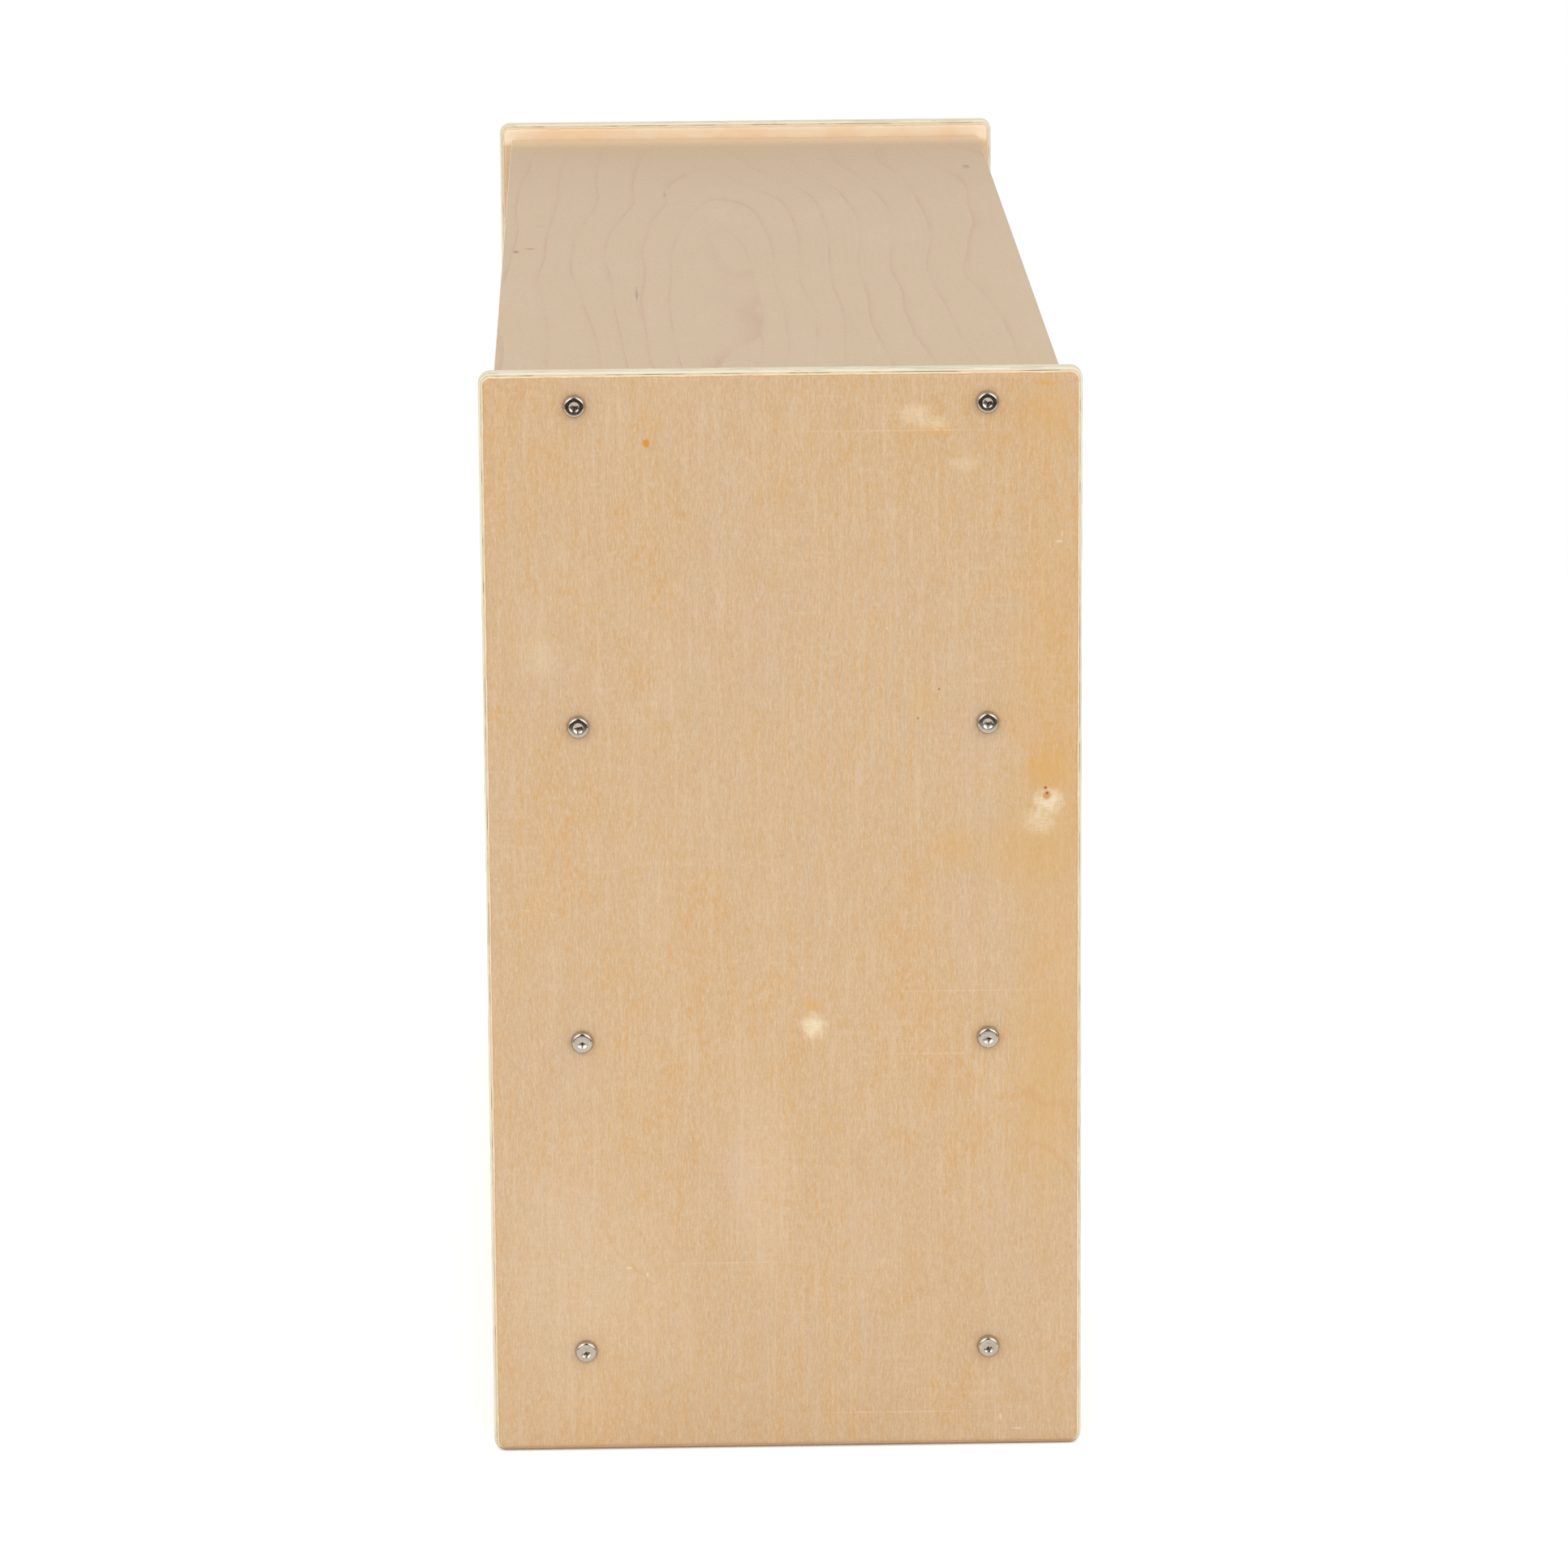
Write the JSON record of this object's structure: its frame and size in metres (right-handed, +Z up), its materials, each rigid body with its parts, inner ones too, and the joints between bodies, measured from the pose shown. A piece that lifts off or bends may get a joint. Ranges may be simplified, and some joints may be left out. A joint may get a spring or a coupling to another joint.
{
  "type": "book drop box",
  "caption": "Low birch plywood book drop box with two inward-swinging flaps above two pull-out bins, bolted between rounded side panels.",
  "frame": {"origin": "on the floor under the middle of the box", "axes": "+Z up, -Y out of the front, +X along the length to the right seen from the front"},
  "size_m": [0.9212, 0.2986, 0.555],
  "materials": {
    "birch_plywood": "clear satin lacquer",
    "beech": "oiled",
    "nickel_plate": "polished nickel plate",
    "pin_steel": "ground",
    "nylon": "matte",
    "rubber": "matte",
    "felt": "felted wool"
  },
  "bodies": {
    "frame": {"side_panel_left": "birch_plywood", "side_panel_right": "birch_plywood", "top_panel": "birch_plywood", "bottom_panel": "birch_plywood", "front_rail": "birch_plywood", "rear_rail": "birch_plywood", "flap_stop_strip": "beech", "plinth_board": "birch_plywood", "back_panel": "birch_plywood", "upper_divider": "birch_plywood", "lower_divider": "birch_plywood", "bin_guide_left_outer": "beech", "bin_guide_left_inner": "beech", "bin_guide_right_outer": "beech", "bin_guide_right_inner": "beech", "pivot_pin_left": "pin_steel", "pivot_pin_centre": "pin_steel", "pivot_pin_right": "pin_steel", "bolt_left_front_1": "nickel_plate", "bolt_left_front_2": "nickel_plate", "bolt_left_front_3": "nickel_plate", "bolt_left_front_4": "nickel_plate", "bolt_left_rear_1": "nickel_plate", "bolt_left_rear_2": "nickel_plate", "bolt_left_rear_3": "nickel_plate", "bolt_left_rear_4": "nickel_plate", "bolt_right_front_1": "nickel_plate", "bolt_right_front_2": "nickel_plate", "bolt_right_front_3": "nickel_plate", "bolt_right_front_4": "nickel_plate", "bolt_right_rear_1": "nickel_plate", "bolt_right_rear_2": "nickel_plate", "bolt_right_rear_3": "nickel_plate", "bolt_right_rear_4": "nickel_plate", "bumper_left_outer": "rubber", "bumper_left_inner": "rubber", "bumper_right_outer": "rubber", "bumper_right_inner": "rubber"},
    "left_flap": {"flap_left": "birch_plywood", "bush_left_outer": "nylon", "bush_left_inner": "nylon"},
    "right_flap": {"flap_right": "birch_plywood", "bush_right_outer": "nylon", "bush_right_inner": "nylon"},
    "left_bin": {"bin_left_front": "birch_plywood", "bin_left_side_outer": "birch_plywood", "bin_left_side_inner": "birch_plywood", "bin_left_back": "birch_plywood", "bin_left_bottom": "birch_plywood", "bin_left_pad": "felt"},
    "right_bin": {"bin_right_front": "birch_plywood", "bin_right_side_outer": "birch_plywood", "bin_right_side_inner": "birch_plywood", "bin_right_back": "birch_plywood", "bin_right_bottom": "birch_plywood", "bin_right_pad": "felt"}
  },
  "joints": [
    {"name": "left_flap_hinge", "type": "hinge", "parent": "frame", "child": "left_flap", "pos_m": [-0.22475, -0.123, 0.519], "axis": [1, 0, 0], "range_deg": [0, 75]},
    {"name": "right_flap_hinge", "type": "hinge", "parent": "frame", "child": "right_flap", "pos_m": [0.22475, -0.123, 0.519], "axis": [1, 0, 0], "range_deg": [0, 75]},
    {"name": "left_bin_slide", "type": "slide", "parent": "frame", "child": "left_bin", "axis": [0, -1, 0], "range_m": [0, 0.2]},
    {"name": "right_bin_slide", "type": "slide", "parent": "frame", "child": "right_bin", "axis": [0, -1, 0], "range_m": [0, 0.2]}
  ]
}
